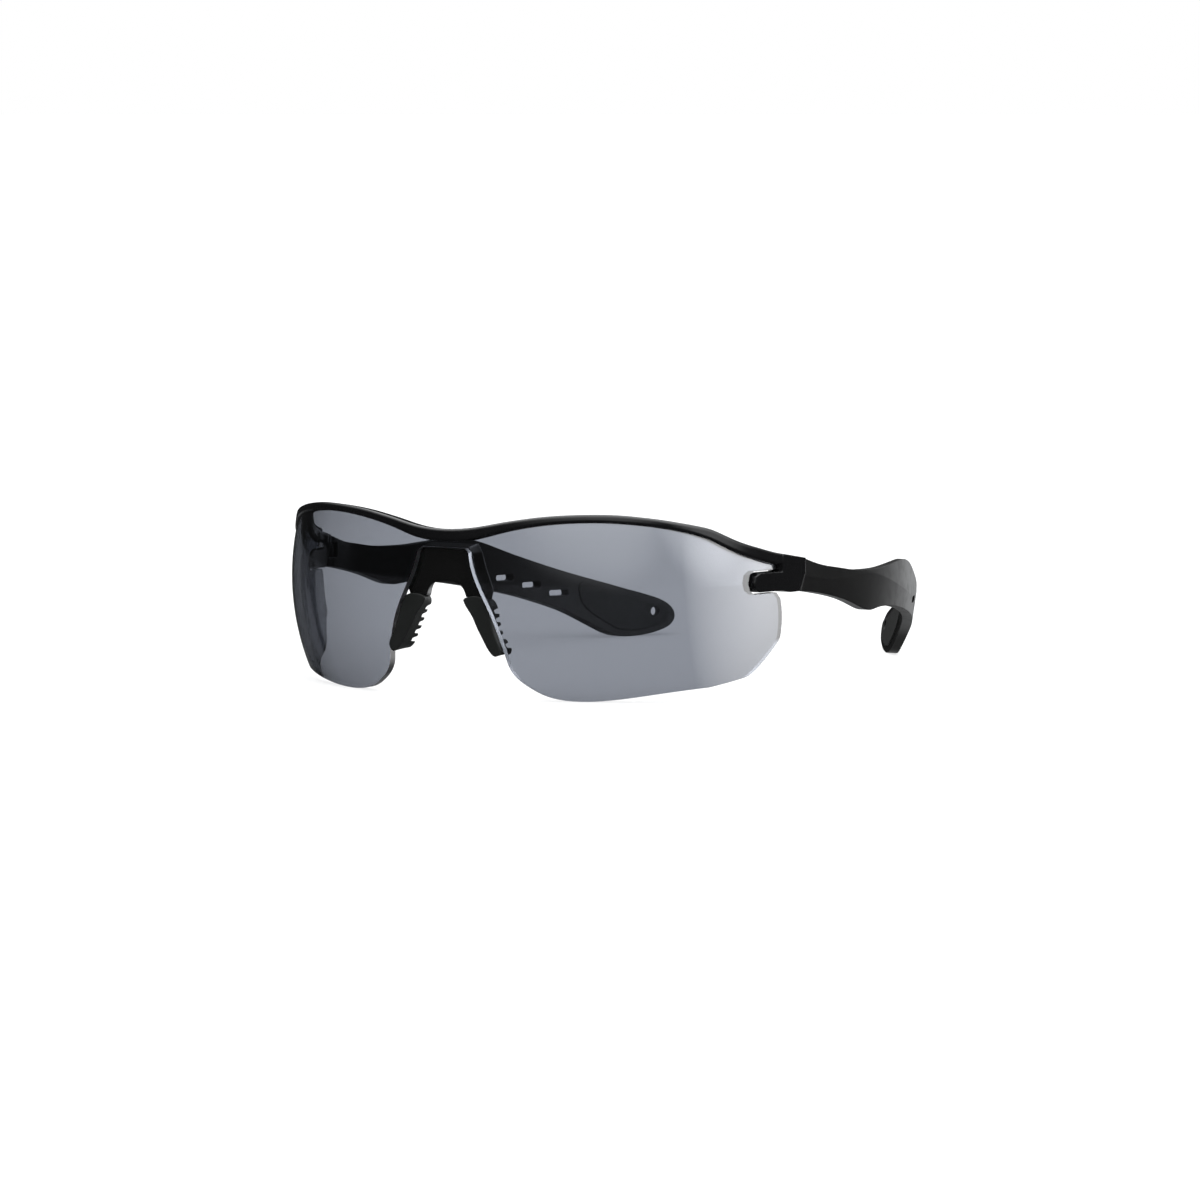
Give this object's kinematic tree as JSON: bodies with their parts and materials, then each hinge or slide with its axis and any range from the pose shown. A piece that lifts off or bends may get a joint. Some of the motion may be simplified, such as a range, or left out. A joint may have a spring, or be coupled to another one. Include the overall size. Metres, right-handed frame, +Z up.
{
  "type": "safety glasses",
  "caption": "Wraparound safety glasses: smoked one-piece shield, half-frame brow bar, soft toothed nose pads and folding vented temples with soft tips.",
  "frame": {"origin": "centre of the footprint on the plane the glasses stand on, in the symmetry plane", "axes": "+X to the wearer's left, +Y from the lens back to the temple tips, +Z up"},
  "size_m": [0.143, 0.1692, 0.0454],
  "materials": {
    "smoke_lens": "polished grey smoke, hard coated",
    "frame_plastic": "glossy smoke black",
    "bridge_plastic": "glossy black",
    "temple_plastic": "satin smoke black",
    "pad_rubber": "matte",
    "grip_rubber": "matte",
    "screw_steel": "blackened"
  },
  "bodies": {
    "frame_front": {"lens": "smoke_lens", "brow_frame": "frame_plastic", "nose_bridge": "bridge_plastic", "nose_pad_left": "pad_rubber", "nose_pad_right": "pad_rubber"},
    "left_temple": {"temple_left": "temple_plastic", "temple_grip_left": "grip_rubber", "hinge_screw_left": "screw_steel"},
    "right_temple": {"temple_right": "temple_plastic", "temple_grip_right": "grip_rubber", "hinge_screw_right": "screw_steel"}
  },
  "joints": [
    {"name": "left_temple_fold", "type": "hinge", "parent": "frame_front", "child": "left_temple", "pos_m": [0.0686, -0.02927, 0.0293], "axis": [0, 0, 1], "range_deg": [0, 86]},
    {"name": "right_temple_fold", "type": "hinge", "parent": "frame_front", "child": "right_temple", "pos_m": [-0.0686, -0.02927, 0.0293], "axis": [0, 0, -1], "range_deg": [0, 72]}
  ]
}
